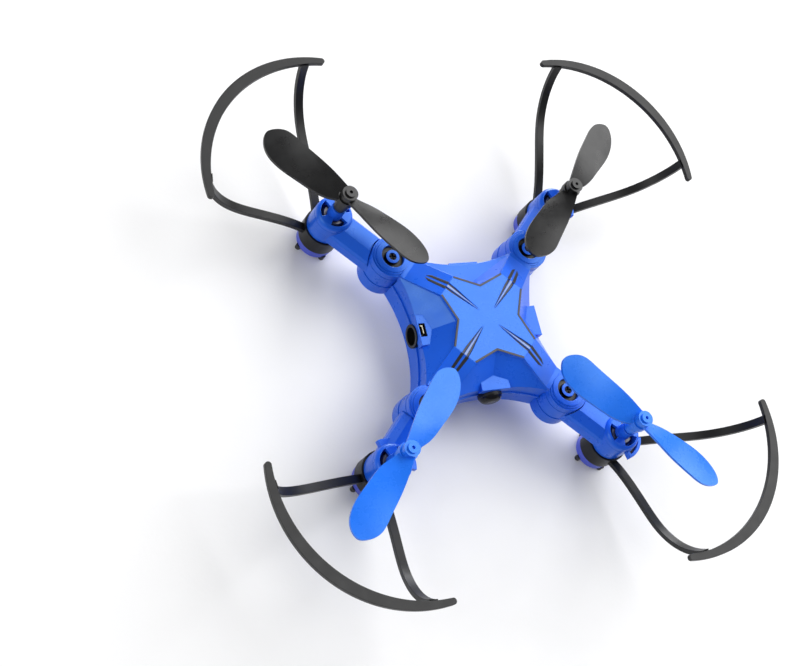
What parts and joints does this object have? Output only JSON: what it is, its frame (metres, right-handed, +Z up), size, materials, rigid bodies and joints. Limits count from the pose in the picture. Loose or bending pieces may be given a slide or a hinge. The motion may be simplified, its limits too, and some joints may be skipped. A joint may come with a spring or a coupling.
{
  "type": "folding palm drone",
  "caption": "Palm-size folding quadcopter: faceted body with a star top plate, hinged motor arms, two-blade propellers and clip-on blade guards that rise to arcs.",
  "frame": {"origin": "under the middle of the body, on the plane of the feet", "axes": "+Z up along the rotor shafts, -Y towards the front lens, +X towards the aircraft's left-hand side"},
  "size_m": [0.1272, 0.1272, 0.0272],
  "materials": {
    "body_blue": "gloss",
    "star_blue": "satin",
    "foot_blue": "satin",
    "board_green": "satin",
    "chip_black": "matte",
    "battery_wrap": "satin",
    "screw_steel": "satin",
    "screw_black": "satin",
    "lens_glass": "gloss",
    "part_black": "satin",
    "contact_gold": "satin",
    "switch_grey": "satin",
    "lamp_red": "gloss",
    "motor_steel": "satin",
    "shaft_steel": "polished",
    "pad_rubber": "matte",
    "guard_black": "satin",
    "prop_blue": "gloss",
    "prop_black": "satin"
  },
  "bodies": {
    "airframe": {"upper_shell": "body_blue", "lower_shell": "body_blue", "star_plate": "star_blue", "main_board": "board_green", "board_chips": "chip_black", "battery": "battery_wrap", "body_screws": "screw_steel", "hinge_screws": "screw_black", "front_lens": "lens_glass", "charge_socket": "part_black", "charge_tongue": "contact_gold", "switch_case": "part_black", "tail_lamp": "lamp_red"},
    "arm_rear_left": {"arm_lower_rear_left": "body_blue", "arm_upper_rear_left": "body_blue", "motor_rear_left": "motor_steel", "foot_cap_rear_left": "foot_blue", "foot_pads_rear_left": "pad_rubber", "guard_rear_left": "guard_black"},
    "rotor_rear_left": {"propeller_rear_left": "prop_black", "shaft_rear_left": "shaft_steel"},
    "arm_rear_right": {"arm_lower_rear_right": "body_blue", "arm_upper_rear_right": "body_blue", "motor_rear_right": "motor_steel", "foot_cap_rear_right": "foot_blue", "foot_pads_rear_right": "pad_rubber", "guard_rear_right": "guard_black"},
    "rotor_rear_right": {"propeller_rear_right": "prop_black", "shaft_rear_right": "shaft_steel"},
    "arm_front_right": {"arm_lower_front_right": "body_blue", "arm_upper_front_right": "body_blue", "motor_front_right": "motor_steel", "foot_cap_front_right": "foot_blue", "foot_pads_front_right": "pad_rubber", "guard_front_right": "guard_black"},
    "rotor_front_right": {"propeller_front_right": "prop_blue", "shaft_front_right": "shaft_steel"},
    "arm_front_left": {"arm_lower_front_left": "body_blue", "arm_upper_front_left": "body_blue", "motor_front_left": "motor_steel", "foot_cap_front_left": "foot_blue", "foot_pads_front_left": "pad_rubber", "guard_front_left": "guard_black"},
    "rotor_front_left": {"propeller_front_left": "prop_blue", "shaft_front_left": "shaft_steel"},
    "switch": {"power_switch": "switch_grey"}
  },
  "joints": [
    {"name": "fold_arm_rear_left", "type": "hinge", "parent": "airframe", "child": "arm_rear_left", "pos_m": [0.01815, 0.01815, 0.01145], "axis": [0, 0, 1], "range_deg": [0, 88]},
    {"name": "spin_propeller_rear_left", "type": "hinge", "parent": "arm_rear_left", "child": "rotor_rear_left", "pos_m": [0.02982, 0.02982, 0.023], "axis": [0, 0, 1], "continuous": true},
    {"name": "fold_arm_rear_right", "type": "hinge", "parent": "airframe", "child": "arm_rear_right", "pos_m": [-0.01815, 0.01815, 0.01145], "axis": [0, 0, 1], "range_deg": [0, 88]},
    {"name": "spin_propeller_rear_right", "type": "hinge", "parent": "arm_rear_right", "child": "rotor_rear_right", "pos_m": [-0.02982, 0.02982, 0.023], "axis": [0, 0, 1], "continuous": true},
    {"name": "fold_arm_front_right", "type": "hinge", "parent": "airframe", "child": "arm_front_right", "pos_m": [-0.01815, -0.01815, 0.01145], "axis": [0, 0, 1], "range_deg": [0, 88]},
    {"name": "spin_propeller_front_right", "type": "hinge", "parent": "arm_front_right", "child": "rotor_front_right", "pos_m": [-0.02982, -0.02982, 0.023], "axis": [0, 0, 1], "continuous": true},
    {"name": "fold_arm_front_left", "type": "hinge", "parent": "airframe", "child": "arm_front_left", "pos_m": [0.01815, -0.01815, 0.01145], "axis": [0, 0, 1], "range_deg": [0, 88]},
    {"name": "spin_propeller_front_left", "type": "hinge", "parent": "arm_front_left", "child": "rotor_front_left", "pos_m": [0.02982, -0.02982, 0.023], "axis": [0, 0, 1], "continuous": true},
    {"name": "slide_power_switch", "type": "slide", "parent": "airframe", "child": "switch", "axis": [0, 1, 0], "range_m": [0, 0.002]}
  ]
}
